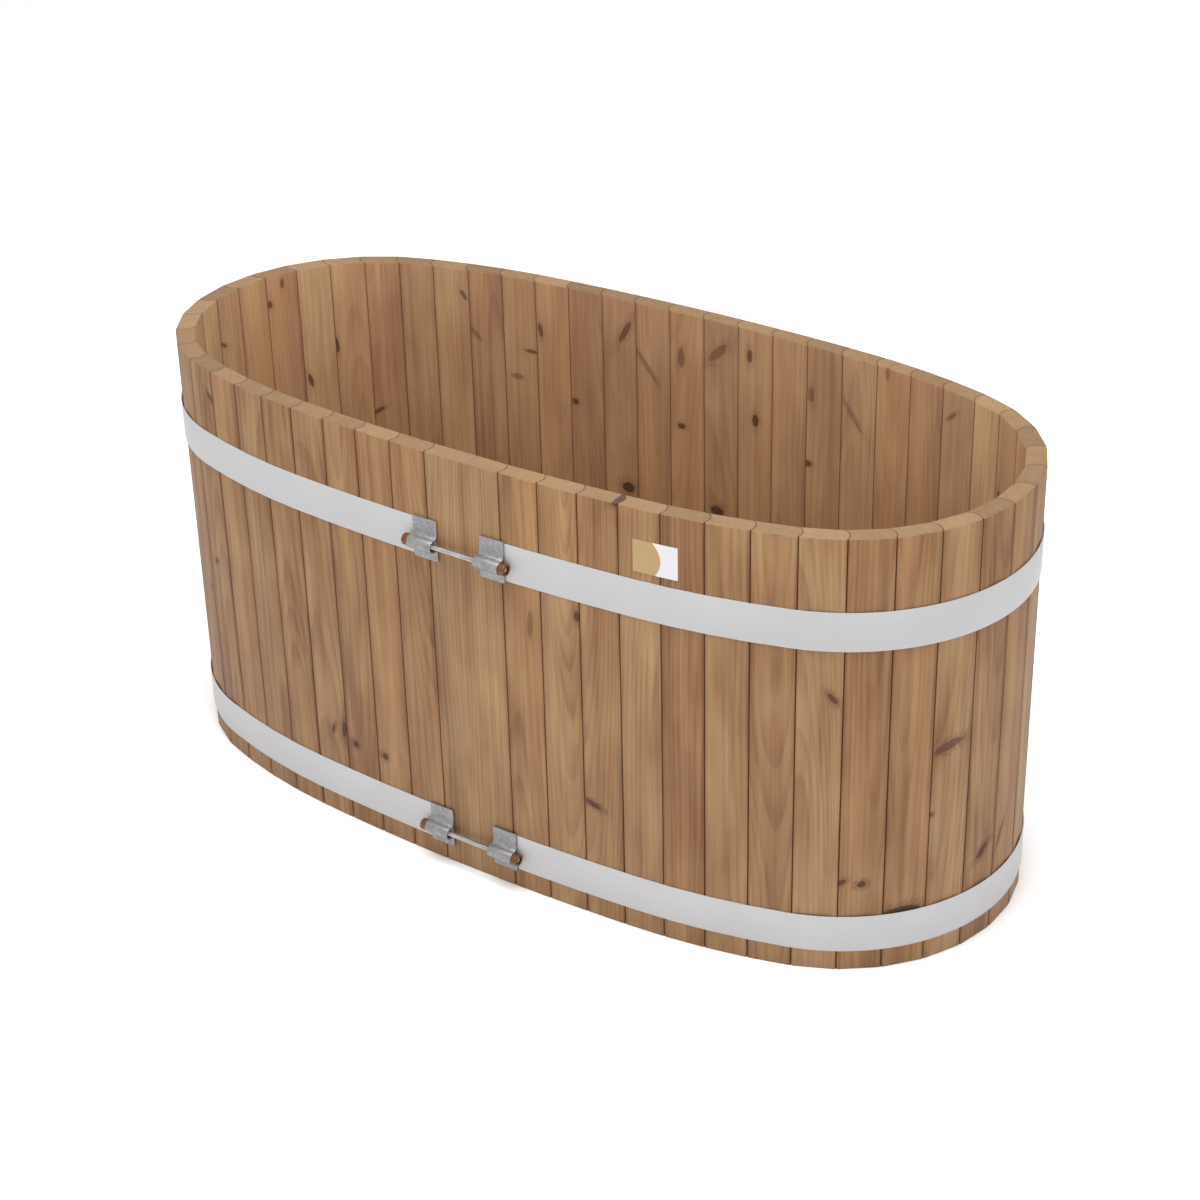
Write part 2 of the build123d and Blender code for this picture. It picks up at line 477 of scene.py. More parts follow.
stave_wood = planed_wood(
    "oiled stave wood",
    colours=[
        (0, paint(86, 53, 31)),
        (0.3, paint(118, 84, 54)),
        (0.55, paint(142, 110, 76)),
        (1, paint(172, 144, 100)),
    ],
    knot_colour=paint(62, 37, 23),
    is_stave=True,
)

# Each knot by stave: place across and up, half length and half width in mm, lean in degrees,
# and strength. Staves 22 to 39 show their inner faces, and the rest their outer ones.
seen_knots = {
    2: [(47, 470, 22, 5, 85, 0.45)],
    3: [(62, 506, 8, 4, 90, 0.9)],
    4: [(15, 197, 13, 4.5, -20, 0.9), (64, 702, 7, 5, 10, 0.95)],
    9: [(51, 456, 9, 4, -50, 0.8)],
    10: [(33, 148, 6, 4.5, 20, 1), (3, 152, 8, 3.5, 30, 0.9)],
    11: [(26, 92, 30, 9, 4, 1)],
    12: [(27, 357, 23, 6.5, 14, 0.7), (1, 250, 4, 3, 0, 0.8)],
    13: [(39, 150, 14, 5, 45, 1)],
    14: [(19, 158, 22, 4, 62, 0.6)],
    51: [(61, 163, 14, 4, 84, 0.95), (37, 156, 9, 3, 70, 0.7)],
    52: [(19, 145, 5.5, 5, 0, 1)],
    53: [(15, 145, 5.5, 5, 0, 1)],
    22: [(40, 690, 10, 4, 90, 0.5)],
    23: [(38, 602, 30, 4, 52, 0.4)],
    24: [(56, 498, 7, 5, 0, 0.9), (52, 618, 12, 5, 90, 0.5)],
    26: [(26, 546, 10, 6, 90, 0.95), (38, 655, 10, 5, 90, 0.8)],
    27: [(34, 646, 22, 7, -45, 0.55), (34, 364, 12, 8, 0, 1)],
    28: [(38, 501, 7, 5, 0, 0.9), (38, 622, 16, 6, 90, 0.6)],
    29: [(40, 592, 32, 4, 52, 0.45)],
    30: [(16, 644, 22, 5, -60, 0.75), (14, 362, 12, 9, 0, 1), (62, 590, 18, 3, 90, 0.4)],
    31: [(52, 498, 6, 5, 0, 0.9)],
    32: [(52, 614, 12, 4, 80, 0.8)],
    35: [(4, 654, 9, 4, 60, 0.7)],
    38: [(58, 553, 14, 4, 84, 0.9)],
    39: [(49, 496, 12, 4, 75, 0.9)],
}
# Tone and redness by stave, then the pith's place in widths across and mm deep, and its slope.
seen_looks = {
    1: (0.01, 0.05),
    2: (0.03, 0.45),
    3: (0.05, 0.25),
    4: (0, 0.35),
    5: (0.04, 0.2),
    6: (-0.06, 0.55),
    7: (0.02, 0.3),
    8: (-0.01, 0.35),
    54: (-0.03, 0.4),
}
seen_piths = {1: (-0.25, 90, 0.02)}
chance = random.Random(54)
no_knot = ((0, 0, 0), (1, 1, 0))
facing_staves = {*range(1, 18), *range(48, 55)}
for number in range(stave_count):
    stave = copy_of(flat_stave, f"stave_{number + 1:02d}")
    width = stand(stave, number)
    chance_look = (chance.gauss(0, 0.06), chance.uniform(0.05, 0.6))
    tone, redness = seen_looks.get(number + 1, chance_look)
    mark_all(stave, "width", (width, 0, 0))
    mark_all(stave, "look", (tone, redness, chance.uniform(0, 60)))
    chance_pith = (
        chance.uniform(-0.3, 1.3),
        chance.choice((-1, 1)) * chance.uniform(25, 90),
        chance.uniform(-0.05, 0.05),
    )
    share_across, pith_depth, slope = seen_piths.get(number + 1, chance_pith)
    mark_all(stave, "pith", (share_across * width, pith_depth * mm, slope))
    chance_knots = [
        (
            chance.uniform(4, 60),
            chance.uniform(60, 690),
            chance.uniform(4, 14),
            chance.uniform(3, 5),
            chance.uniform(-90, 90),
            chance.uniform(0.35, 0.85),
        )
        for _ in range(chance.choice((0, 0, 1, 1, 2)))
    ]
    unseen_knots = [] if number + 1 in facing_staves else chance_knots
    knots = seen_knots.get(number + 1, unseen_knots)
    for place in range(3):
        spot, shape = no_knot
        if place < len(knots):
            across, up, half_long, half_wide, lean, strength = knots[place]
            spot = (across * mm, up * mm, strength)
            shape = (half_long * mm, half_wide * mm, radians(lean))
        mark_all(stave, f"knot_{place + 1}", spot)
        mark_all(stave, f"knot_{place + 1}_shape", shape)
    close(stave)
    first_in_node = number - number % staves_per_node + 1
    node = f"staves_{first_in_node:02d}_{first_in_node + staves_per_node - 1:02d}"
    fit(stave, "tub", stave_wood, [node])
bpy.data.objects.remove(flat_stave)

# Floor. Seven tongued and grooved softwood boards laid lengthwise, with their ends let into the
# groove round the staves. They are planed and oiled like the staves, and eased at each joint.
board_count = 7
floor_inset = 25.5 * mm
board_easing = 1 * mm


def whole_copy(node, name):
    """A copy of a CAD node with its loose triangles joined into whole faces."""
    piece = copy_of(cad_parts[node], name)
    edit(piece)
    bpy.ops.mesh.select_all(action="SELECT")
    bpy.ops.mesh.remove_doubles(threshold=0.005 * mm)
    bpy.ops.mesh.dissolve_limited(angle_limit=radians(0.5))
    bpy.ops.object.mode_set(mode="OBJECT")
    return piece


def soften(piece, width, sharper_than, segments=2):
    """Rounds every edge sharper than an angle in degrees."""
    modify(
        piece,
        "BEVEL",
        width=width,
        segments=segments,
        limit_method="ANGLE",
        angle_limit=radians(sharper_than),
    )


floor_wood = planed_wood(
    "oiled floor wood",
    colours=[
        (0, paint(112, 74, 50)),
        (0.3, paint(146, 106, 74)),
        (0.55, paint(170, 132, 95)),
        (1, paint(198, 164, 122)),
    ],
    knot_colour=paint(96, 62, 40),
)
for number in range(board_count):
    board = whole_copy(f"floor_board_{number + 1}", f"floor_plank_{number + 1}")
    low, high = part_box(f"floor_board_{number + 1}")
    soften(board, board_easing, sharper_than=50)
    places = [(v.co.y - low[1], floor_high - v.co.z, v.co.x) for v in board.data.vertices]
    mark(board, "board", places)
    mark_all(board, "width", (high[1] - low[1], 0, 0))
    mark_all(board, "look", (chance.gauss(0, 0.05), chance.uniform(0, 0.4), 70 + number))
    pith = (chance.uniform(0, 0.09), chance.uniform(30, 80) * mm, chance.uniform(-0.04, 0.04))
    mark_all(board, "pith", pith)
    for place in range(3):
        spot = (chance.uniform(0.01, 0.08), chance.uniform(-0.6, 0.6), place % 2 * 0.9)
        shape = (chance.uniform(5, 12) * mm, chance.uniform(4, 6) * mm, chance.uniform(-1, 1))
        mark_all(board, f"knot_{place + 1}", spot)
        mark_all(board, f"knot_{place + 1}_shape", shape)
    close(board)
    fit(board, "tub", floor_wood, [f"floor_board_{number + 1}"])

# Bearers. Three sawn softwood bars screwed crosswise under the floor, level with the feet of
# the staves, so that the filled tub stands on them. Their lower long edges are planed off.
bearer_names = ["drain_end", "middle", "head_end"]
bearer_places = [-420 * mm, 0, 420 * mm]
screw_stagger = 18 * mm
screw_head_radius = 4 * mm
screw_recess = 0.5 * mm
countersink_depth = 5 * mm
countersink_middle = 1.5 * mm
board_pitch = 2 * (half_width - floor_inset) / board_count
screw_places = [
    (
        bearer_place + (screw_stagger if number % 2 else -screw_stagger),
        (number - (board_count - 1) / 2) * board_pitch,
    )
    for bearer_place in bearer_places
    for number in range(board_count)
]
bearer_wood = planed_wood(
    "sawn bearer wood",
    colours=[
        (0, paint(104, 70, 48)),
        (0.3, paint(140, 102, 72)),
        (0.55, paint(164, 127, 92)),
        (1, paint(188, 154, 114)),
    ],
    knot_colour=paint(90, 58, 38),
)
for index, name in enumerate(bearer_names):
    node = "bearer_" + name
    bearer = whole_copy(node, "bearer_bar_" + name)
    low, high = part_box(node)
    soften(bearer, board_easing, sharper_than=30)
    for x, y in screw_places[index * board_count : (index + 1) * board_count]:
        countersink = add(
            "countersink",
            bpy.ops.mesh.primitive_cone_add,
            vertices=20,
            radius1=screw_head_radius * 1.4,
            radius2=screw_head_radius * 0.5,
            depth=countersink_depth,
            location=(x, y, countersink_middle),
        )
        cut(bearer, countersink)
    places = [(v.co.x - low[0], v.co.z, v.co.y) for v in bearer.data.vertices]
    mark(bearer, "board", places)
    mark_all(bearer, "width", (high[0] - low[0], 0, 0))
    mark_all(bearer, "look", (chance.gauss(-0.02, 0.04), 0.2, 90 + index))
    mark_all(bearer, "pith", (chance.uniform(0, 0.07), 60 * mm, 0.02))
    close(bearer)
    fit(bearer, "tub", bearer_wood, [node])

# Screws. Twenty-one stainless countersunk wood screws, one through each bearer into each floor
# board, driven from below with a cross-head driver until the heads lie just inside the wood.
screw_head_depth = 2.2 * mm
cross_length = 4.4 * mm
cross_width = 1 * mm
cross_depth = 2.4 * mm
screw = add(
    "first_screw",
    bpy.ops.mesh.primitive_cone_add,
    vertices=28,
    radius1=screw_head_radius,
    radius2=screw_head_radius * 0.55,
    depth=screw_head_depth,
    location=(0, 0, screw_recess + screw_head_depth / 2),
)
soften(screw, 0.2 * mm, sharper_than=50)
for length, width in ((cross_length, cross_width), (cross_width, cross_length)):
    slot_cutter = add(
        "slot_cutter",
        bpy.ops.mesh.primitive_cube_add,
        (length, width, cross_depth),
        size=1,
        location=(0, 0, screw_recess),
    )
    cut(screw, slot_cutter)


def texture(finish, swells, detail=2, roughness=0.5):
    """Noise fixed to the object, with its swells to the metre along x, y and z."""
    place = finish.node("TexCoord", {}, {}, output=3).parts()
    return finish.noise(*[part * count for part, count in zip(place, swells)], detail, roughness)


screw_steel = Finish("stainless screw steel")
turning = texture(screw_steel, (900, 900, 900))
screw_steel.surface(
    Base_Color=screw_steel.mix(turning + 0.5, paint(160, 158, 154), paint(196, 194, 190)),
    Metallic=1,
    Roughness=0.34 + turning * 0.2,
)
for number, (x, y) in enumerate(screw_places):
    floor_screw = copy_of(screw, f"floor_screw_{number + 1:02d}")
    floor_screw.data.transform(Matrix.Translation((x, y, 0)))
    close(floor_screw)
    fit(floor_screw, "tub", screw_steel.material)
bpy.data.objects.remove(screw)

# Hoops. Two flat steel straps with a pale matt coating, rolled to the oval and drawn round the
# staves. Each is open behind its clamp, where its two ends pass under the clips.
hoop_width = 60 * mm
hoop_thickness = 1.2 * mm
hoop_clearance = 0.05 * mm
strap_easing = 0.25 * mm
strap_start = 54.5 * mm
strap_end = -30.5 * mm
first_bend = 4 * mm
hoop_centres = {"upper": 560.5 * mm, "lower": 63.5 * mm}
strap_radius = side_arc[0] + hoop_clearance
centre_y = side_arc[0] - half_width
start_turn = asin((strap_start + first_bend / 2) / strap_radius)
first_turn = side_arc[1] - start_turn - first_bend / 2 / strap_radius
last_turn = side_arc[1] + asin(strap_end / strap_radius)
strap_arcs = [(side_arc[0], first_turn), *oval_arcs[1:-1], (side_arc[0], last_turn)]
step_turn = radians(3)


def spin(turn, centre, axis, steps):
    """Sweeps the selected edges round an axis, which leaves their new end selected."""
    bpy.ops.mesh.spin(steps=steps, angle=-turn, center=centre, axis=axis)


def weld(within=0.01 * mm):
    """Joins the points that meet and turns every face outward."""
    bpy.ops.mesh.select_all(action="SELECT")
    bpy.ops.mesh.remove_doubles(threshold=within)
    bpy.ops.mesh.normals_make_consistent(inside=False)


hoop_coat = Finish("pale matt coated strap")
speckle = texture(hoop_coat, (520, 520, 520), detail=3)
cloud = texture(hoop_coat, (9, 9, 9))
coat_tone = (0.5 + speckle * 0.7 + cloud * 0.5).limited()
hoop_coat.surface(
    Base_Color=hoop_coat.mix(coat_tone, paint(162, 161, 162), paint(185, 184, 185)),
    Roughness=0.5 + speckle * 0.25 + cloud * 0.1,
)
hoop_coat.relief(0.5 + speckle, 0.06 * mm)
for level, hoop_centre in hoop_centres.items():
    hoop = add(
        level + "_strap",
        bpy.ops.mesh.primitive_plane_add,
        (first_bend, hoop_width, 1),
        size=1,
        location=(0, 0, 0),
        rotation=(pi / 2, 0, 0),
    )
    hoop.data.transform(
        Matrix.Translation((0, centre_y, hoop_centre))
        @ Matrix.Rotation(start_turn, 4, "Z")
        @ Matrix.Translation((0, -strap_radius, 0))
    )
    edit(hoop)
    pick("EDGE", lambda middle: middle.x > strap_start + first_bend * 0.9)
    distance = side_arc[0] * (side_arc[1] - first_turn)
    for radius, turn in strap_arcs:
        point, onward, outward = oval_at(distance)
        steps = max(4, round(turn / step_turn))
        spin(turn, point - outward * radius, (0, 0, 1), steps)
        distance += radius * turn
    weld()
    bpy.ops.object.mode_set(mode="OBJECT")
    modify(hoop, "SOLIDIFY", thickness=hoop_thickness - hoop_clearance, offset=1)
    soften(hoop, strap_easing, sharper_than=60)
    close(hoop)
    fit(hoop, "tub", hoop_coat.material, [level + "_hoop"])

# Clips. Four pieces of galvanised sheet, pressed to a hat section: two flanges, taken to be
# welded flat on the strap's ends, and a round channel between them. The tension rod runs
# through the channel, and a nut bears on its outer end.
clip_height = 66 * mm
clip_width = 43.5 * mm
clip_sheet = 2 * mm
channel_drop = 5 * mm
channel_offset = 9.6 * mm
channel_outer_radius = 10 * mm
upper_fillet = 7 * mm
lower_fillet = 3 * mm
clip_corner = 1.6 * mm
clip_easing = 0.3 * mm
clip_outer_ends = {"left": (-70.5 * mm, 1), "right": (94.5 * mm, -1)}
clip_back = -(half_width + hoop_thickness)
clip_front = clip_back - clip_sheet
channel_y = clip_back - channel_offset

clip_zinc = Finish("galvanised clip steel")
grit = texture(clip_zinc, (900, 900, 900), detail=3, roughness=0.7)
spangle = texture(clip_zinc, (160, 160, 160))
zinc_tone = (0.5 + grit * 1.5 + spangle * 0.9).limited()
clip_zinc.surface(
    Base_Color=clip_zinc.mix(zinc_tone, paint(98, 97, 98), paint(164, 163, 164)),
    Metallic=0.55,
    Roughness=0.42 + grit * 0.3,
)
clip_zinc.relief(0.5 + grit, 0.12 * mm)

for level, hoop_centre in hoop_centres.items():
    channel_z = hoop_centre - channel_drop
    upper_root = channel_z + channel_outer_radius + upper_fillet
    lower_root = channel_z - channel_outer_radius - lower_fillet
    clip_top = hoop_centre + clip_height / 2
    clip_foot = hoop_centre - clip_height / 2
    for side, (outer_end, inward) in clip_outer_ends.items():
        clip_middle = outer_end + inward * clip_width / 2
        clip = add(
            f"{level}_{side}_pressed_clip",
            bpy.ops.mesh.primitive_plane_add,
            (clip_width, clip_top - upper_root, 1),
            size=1,
            location=(clip_middle, clip_front, (clip_top + upper_root) / 2),
            rotation=(pi / 2, 0, 0),
        )
        edit(clip)
        pick("EDGE", lambda middle: near(middle.z, upper_root))
        spin(-pi / 2, (0, clip_front - upper_fillet, upper_root), (1, 0, 0), 8)
        extrude((0, channel_y - clip_front + upper_fillet, 0))
        spin(pi, (0, channel_y, channel_z), (1, 0, 0), 20)
        extrude((0, clip_front - lower_fillet - channel_y, 0))
        spin(-pi / 2, (0, clip_front - lower_fillet, lower_root), (1, 0, 0), 5)
        extrude((0, 0, clip_foot - lower_root))
        pick(
            "VERT",
            lambda middle: near(middle.z, clip_top) or near(middle.z, clip_foot),
        )
        bpy.ops.mesh.bevel(offset=clip_corner, segments=3, affect="VERTICES")
        weld()
        bpy.ops.object.mode_set(mode="OBJECT")
        modify(clip, "SOLIDIFY", thickness=clip_sheet, offset=-1)
        for vertex in clip.data.vertices:
            if near(vertex.co.y, clip_back, within=0.3 * mm):
                vertex.co.y += vertex.co.x**2 / (2 * side_arc[0])
        soften(clip, clip_easing, sharper_than=60)
        close(clip)
        fit(clip, "tub", clip_zinc.material, [f"{level}_{side}_clip"])

# Rods and nuts. A zinc plated M8 rod runs through the two channels of each clamp, with a round
# nut of dark bronze screwed on at both ends. A hexagon key in a nut's socket draws the hoop in.
rod_radius = 4 * mm
thread_root = 3.4 * mm
thread_pitch = 1.25 * mm
thread_steps = 16
rod_left = -80.05 * mm
rod_right = 104.05 * mm
rod_length = rod_right - rod_left
rod_end_easing = 0.5 * mm
crest_share = 0.2
core_overlap = 0.05 * mm
nut_radius = 9 * mm
nut_length = 11 * mm
nut_bore = 4.05 * mm
nut_outer_easing = 1.6 * mm
nut_inner_easing = 0.5 * mm
seating_gap = 0.05 * mm
socket_width = 10 * mm
socket_depth = 4 * mm

rod_zinc = Finish("zinc plated rod")
rod_grime = texture(rod_zinc, (60, 200, 200), detail=3)
rod_zinc.surface(
    Base_Color=rod_zinc.mix(
        (0.5 + rod_grime).limited(), paint(140, 138, 136), paint(205, 204, 203)
    ),
    Metallic=0.85,
    Roughness=0.33 + rod_grime * 0.25,
)

nut_bronze = Finish("dark bronze nut")
patina = texture(nut_bronze, (260, 260, 260), detail=4, roughness=0.6)
lathe = texture(nut_bronze, (2400, 60, 60))
nut_bronze.surface(
    Base_Color=nut_bronze.mix(
        (0.5 + patina * 1.3).limited(), paint(80, 46, 26), paint(132, 86, 54)
    ),
    Metallic=0.6,
    Roughness=0.4 + patina * 0.3,
)
nut_bronze.relief(0.5 + lathe * 0.5 + patina * 0.5, 0.05 * mm)

for level, hoop_centre in hoop_centres.items():
    channel_z = hoop_centre - channel_drop
    rod = add(
        level + "_threaded_rod",
        bpy.ops.mesh.primitive_plane_add,
        (rod_radius - thread_root, thread_pitch, 1),
        size=1,
        location=((rod_radius + thread_root) / 2, 0, thread_pitch / 2),
        rotation=(pi / 2, 0, 0),
    )
    edit(rod)
    pick("EDGE", lambda middle: near(middle.x, rod_radius))
    crest = (rod_radius, 0, thread_pitch / 2)
    bpy.ops.transform.resize(value=(1, 1, crest_share), center_override=crest)
    pick("EDGE", lambda middle: near(middle.x, thread_root))
    bpy.ops.mesh.delete(type="EDGE")
    bpy.ops.object.mode_set(mode="OBJECT")
    modify(
        rod,
        "SCREW",
        angle=2 * pi,
        screw_offset=thread_pitch,
        iterations=int(rod_length / thread_pitch) - 1,
        steps=thread_steps,
        render_steps=thread_steps,
        use_smooth_shade=False,
    )
    edit(rod)
    weld(0.005 * mm)
    bpy.ops.mesh.primitive_cylinder_add(
        vertices=32,
        radius=thread_root + core_overlap,
        depth=rod_length,
        location=(0, 0, rod_length / 2),
    )
    pick("EDGE", lambda middle: near(middle.z, 0) or near(middle.z, rod_length))
    bpy.ops.mesh.bevel(offset=rod_end_easing, segments=2, affect="EDGES")
    bpy.ops.object.mode_set(mode="OBJECT")
    rod.data.transform(
        Matrix.Translation((rod_left, channel_y, channel_z)) @ Matrix.Rotation(pi / 2, 4, "Y")
    )
    close(rod)
    fit(rod, level + "_rod", rod_zinc.material, [level + "_tension_rod"])

    for side, (outer_end, inward) in clip_outer_ends.items():
        nut_inner_face = outer_end - inward * seating_gap
        nut_middle = nut_inner_face - inward * nut_length / 2
        nut_outer_face = nut_inner_face - inward * nut_length
        nut = add(
            f"{level}_{side}_round_nut",
            bpy.ops.mesh.primitive_cylinder_add,
            vertices=64,
            radius=nut_radius,
            depth=nut_length,
            location=(nut_middle, channel_y, channel_z),
            rotation=(0, pi / 2, 0),
        )
        edit(nut)
        for face, easing in (
            (nut_outer_face, nut_outer_easing),
            (nut_inner_face, nut_inner_easing),
        ):
            pick("EDGE", lambda middle: near(middle.x, face))
            bpy.ops.mesh.bevel(offset=easing, segments=4, affect="EDGES")
        bpy.ops.object.mode_set(mode="OBJECT")
        for corners, radius, depth, place in (
            (6, socket_width / sqrt(3), 2 * socket_depth, nut_outer_face),
            (48, nut_bore, 2 * nut_length, nut_middle),
        ):
            bore = add(
                "bore_cutter",
                bpy.ops.mesh.primitive_cylinder_add,
                vertices=corners,
                radius=radius,
                depth=depth,
                location=(place, channel_y, channel_z),
                rotation=(0, pi / 2, 0),
            )
            cut(nut, bore)
        close(nut)
        body = level + ("_rod" if side == "left" else "_right_nut")
        fit(nut, body, nut_bronze.material, [f"{level}_{side}_nut"])

# Drain. A turned stainless fitting, flanged inside the tub and threaded below, goes through the
# middle floor board and is clamped by a hexagonal plastic nut. A rubber plug with a pull tab
# shuts it, and a hose or a 40 mm waste coupling pushes on from below.
drain_place = Vector((-560 * mm, 0, 0))
flange_radius = 40 * mm
flange_top = 80 * mm
thread_low = 36 * mm
thread_radius = 23.9 * mm
spigot_radius = 20 * mm
spigot_low = 8 * mm
waterway_radius = 17.5 * mm
drain_easing = 0.8 * mm

drain_steel = Finish("satin drain steel")
turned = texture(drain_steel, (140, 140, 900), detail=3)
drain_steel.surface(
    Base_Color=drain_steel.mix(
        (0.5 + turned).limited(), paint(146, 146, 146), paint(178, 178, 177)
    ),
    Metallic=1,
    Roughness=0.3 + turned * 0.2,
)
drain = add(
    "turned_drain",
    bpy.ops.mesh.primitive_cylinder_add,
    vertices=96,
    radius=flange_radius,
    depth=flange_top - floor_high,
    location=drain_place + Vector((0, 0, (flange_top + floor_high) / 2)),
)
edit(drain)
pick("FACE", lambda middle: near(middle.z, floor_high))
bpy.ops.mesh.inset(thickness=flange_radius - thread_radius)
extrude((0, 0, thread_low - floor_high))
bpy.ops.mesh.inset(thickness=thread_radius - spigot_radius)
extrude((0, 0, spigot_low - thread_low))
bpy.ops.mesh.inset(thickness=spigot_radius - waterway_radius)
pick("FACE", lambda middle: near(middle.z, flange_top))
bpy.ops.mesh.inset(thickness=flange_radius - waterway_radius)
pick(
    "FACE",
    lambda middle: (middle - drain_place).xy.length < mm
    and (near(middle.z, flange_top) or near(middle.z, spigot_low)),
)
bpy.ops.mesh.bridge_edge_loops()
bpy.ops.object.mode_set(mode="OBJECT")
soften(drain, drain_easing, sharper_than=40, segments=3)
close(drain)
fit(drain, "tub", drain_steel.material, ["drain_fitting"])

back_nut_width = 60 * mm
back_nut_height = 10 * mm
back_nut_easing = 1.5 * mm
nut_plastic = Finish("black moulded nut")
moulding = texture(nut_plastic, (700, 700, 700), detail=3)
nut_plastic.surface(
    Base_Color=nut_plastic.mix(moulding + 0.5, paint(34, 34, 35), paint(50, 50, 51)),
    Roughness=0.5 + moulding * 0.25,
)
nut_plastic.relief(0.5 + moulding, 0.05 * mm)
back_nut = add(
    "moulded_back_nut",
    bpy.ops.mesh.primitive_cylinder_add,
    vertices=6,
    radius=back_nut_width / sqrt(3),
    depth=back_nut_height,
    location=drain_place + Vector((0, 0, thread_low + back_nut_height / 2)),
    rotation=(0, 0, pi / 6),
)
soften(back_nut, back_nut_easing, sharper_than=40, segments=3)
nut_bore_cutter = add(
    "bore_cutter",
    bpy.ops.mesh.primitive_cylinder_add,
    vertices=96,
    radius=thread_radius + seating_gap,
    depth=3 * back_nut_height,
    location=drain_place + Vector((0, 0, thread_low + back_nut_height / 2)),
)
cut(back_nut, nut_bore_cutter)
close(back_nut)
fit(back_nut, "tub", nut_plastic.material, ["drain_back_nut"])

plug_body_radius = 17.2 * mm
plug_foot_radius = 16.4 * mm
plug_body_depth = 12 * mm
plug_rim_radius = 24 * mm
plug_seat = 80.3 * mm
plug_top = 85.3 * mm
tab_length = 26 * mm
tab_thickness = 4 * mm
tab_height = 15 * mm
tab_corner = 8 * mm
plug_easing = 1 * mm
plug_rubber = Finish("matt black rubber")
bloom = texture(plug_rubber, (120, 120, 120), detail=4)
plug_rubber.surface(
    Base_Color=plug_rubber.mix(bloom + 0.5, paint(38, 38, 39), paint(62, 61, 60)),
    Roughness=0.62 + bloom * 0.25,
)
plug_rubber.relief(0.5 + bloom * 0.5, 0.05 * mm)
plug = add(
    "rubber_plug",
    bpy.ops.mesh.primitive_cylinder_add,
    vertices=96,
    radius=plug_rim_radius,
    depth=plug_top - plug_seat,
    location=drain_place + Vector((0, 0, (plug_top + plug_seat) / 2)),
)
edit(plug)
pick("FACE", lambda middle: near(middle.z, plug_seat))
bpy.ops.mesh.inset(thickness=plug_rim_radius - plug_body_radius)
extrude((0, 0, -plug_body_depth))
foot = drain_place + Vector((0, 0, plug_seat - plug_body_depth))
taper = plug_foot_radius / plug_body_radius
bpy.ops.transform.resize(value=(taper, taper, 1), center_override=foot)
bpy.ops.object.mode_set(mode="OBJECT")
tab = add(
    "pull_tab",
    bpy.ops.mesh.primitive_cube_add,
    (tab_thickness, tab_length, tab_height + mm),
    size=1,
    location=drain_place + Vector((0, 0, plug_top + (tab_height - mm) / 2)),
)
edit(tab)
pick(
    "EDGE",
    lambda middle: near(middle.z, plug_top + tab_height)
    and near(abs(middle.y), tab_length / 2),
)
bpy.ops.mesh.bevel(offset=tab_corner, segments=8, affect="EDGES")
bpy.ops.object.mode_set(mode="OBJECT")
modify(plug, "BOOLEAN", object=tab, operation="UNION", solver="EXACT")
bpy.data.objects.remove(tab)
soften(plug, plug_easing, sharper_than=50, segments=3)
close(plug)
fit(plug, "plug", plug_rubber.material, ["drain_plug"])

# Label. A thin blank card stuck to the staves above the upper hoop, printed tan at one end and
# white at the other with a curved edge between them.
label_left = 308.5 * mm
label_right = 378 * mm
label_low = 603.5 * mm
label_high = 653.5 * mm
label_thickness = 0.25 * mm
label_gap = 0.05 * mm
label_columns = 24
label_rows = 12
label = add(
    "blank_label",
    bpy.ops.mesh.primitive_grid_add,
    (label_right - label_left, label_high - label_low, 1),
    x_subdivisions=label_columns,
    y_subdivisions=label_rows,
    size=1,
    location=((label_left + label_right) / 2, 0, (label_low + label_high) / 2),
    rotation=(pi / 2, 0, 0),
)


def distance_to(x):
    """Distance along the oval to the point on the clamp side that has this x."""
    low, high = 0, oval_length / 4
    while high - low > 0.01 * mm:
        middle = (low + high) / 2
        if oval_at(middle)[0].x < x:
            low = middle
        else:
            high = middle
    return low


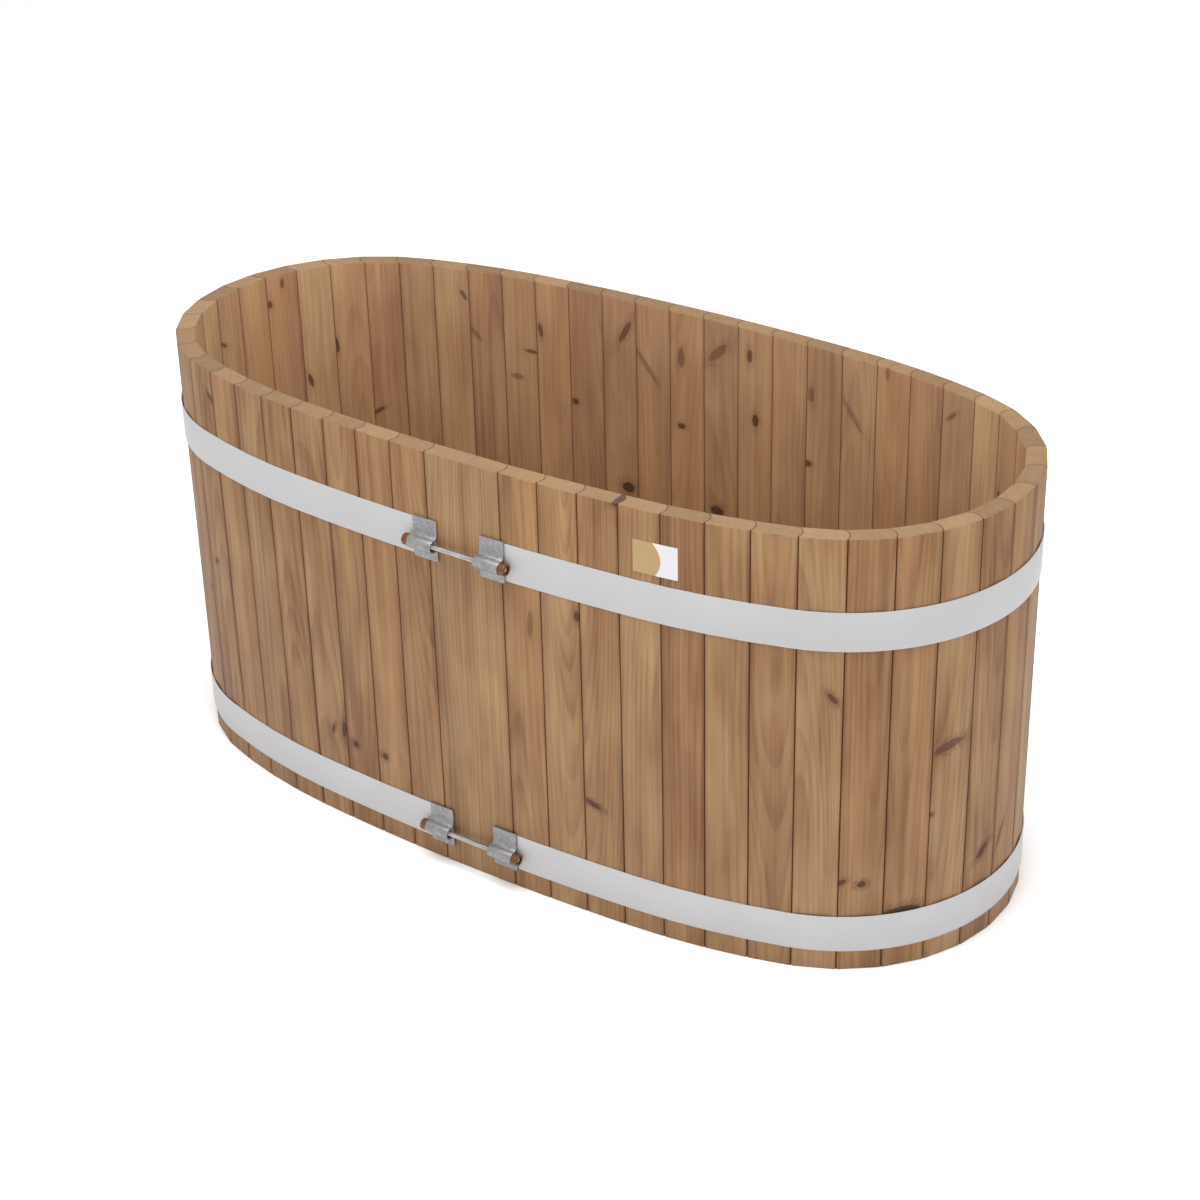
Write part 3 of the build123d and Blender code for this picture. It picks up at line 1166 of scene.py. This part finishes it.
label_start = distance_to(label_left)
label_spots = []
for vertex in label.data.vertices:
    run = vertex.co.x - label_left
    share = run / (label_right - label_left)
    label_spots.append((share, (vertex.co.z - label_low) / (label_high - label_low), 0))
    point, onward, outward = oval_at(label_start + run)
    vertex.co = point + outward * label_gap + Vector((0, 0, vertex.co.z))
mark(label, "card", label_spots)
modify(label, "SOLIDIFY", thickness=label_thickness, offset=1)
label_card = Finish("two-tone label card")
card_across, card_up = label_card.kept("card").parts()[:2]
from_half = card_up - 0.45
divider = 0.5 + 0.12 * (1 - from_half * from_half * 5)
white_end = (card_across - divider).rise(-0.008, 0.008)
paper = label_card.noise(card_across * 90, card_up * 60, 0, detail=3)
label_card.surface(
    Base_Color=label_card.mix(
        white_end,
        label_card.mix(paper + 0.5, paint(160, 131, 87), paint(170, 140, 95)),
        label_card.mix(paper + 0.5, paint(199, 199, 201), paint(208, 208, 209)),
    ),
    Roughness=0.45 + paper * 0.2,
)
close(label)
fit(label, "tub", label_card.material)

# Studio. A plain pale floor under an even white sky, one broad soft light overhead and one at
# the camera's right, and the camera where the photograph was taken.
camera_place = (2.0531, -2.807, 2.2029)
camera_heading = radians(35.93)
camera_tilt = radians(61.57)
camera_roll = radians(-1.391)
camera_lens = 74.83
studio_floor = add("studio_floor", bpy.ops.mesh.primitive_plane_add, size=30)
floor_paint = Finish("pale studio floor")
floor_paint.surface(Base_Color=(0.96, 0.96, 0.96, 1), Roughness=0.95)
studio_floor.data.materials.append(floor_paint.material)

world = bpy.data.worlds.new("white studio")
world.use_nodes = True
sky = world.node_tree.nodes["Background"]
sky.inputs["Color"].default_value = (1, 1, 1, 1)
sky.inputs["Strength"].default_value = 0.95
bpy.context.scene.world = world


def soft_light(name, place, target, size, power):
    data = bpy.data.lights.new(name, "AREA")
    data.shape = "DISK"
    data.size = size
    data.energy = power
    light = bpy.data.objects.new(name, data)
    light.location = place
    light.rotation_euler = (Vector(target) - Vector(place)).to_track_quat("-Z", "Y").to_euler()
    bpy.context.collection.objects.link(light)


soft_light("overhead_light", (0.2, -0.5, 3.4), (0, 0, 0.3), 2.6, 110)
soft_light("right_light", (3.4, -1.4, 2.6), (0, 0, 0.4), 2.4, 16)
bpy.context.scene.view_settings.view_transform = "Standard"

camera_data = bpy.data.cameras.new("camera")
camera_data.lens = camera_lens
camera_data.sensor_width = 36
camera = bpy.data.objects.new("camera", camera_data)
camera.matrix_world = (
    Matrix.Translation(camera_place)
    @ Matrix.Rotation(camera_heading, 4, "Z")
    @ Matrix.Rotation(camera_tilt, 4, "X")
    @ Matrix.Rotation(camera_roll, 4, "Z")
)
bpy.context.collection.objects.link(camera)
bpy.context.scene.camera = camera
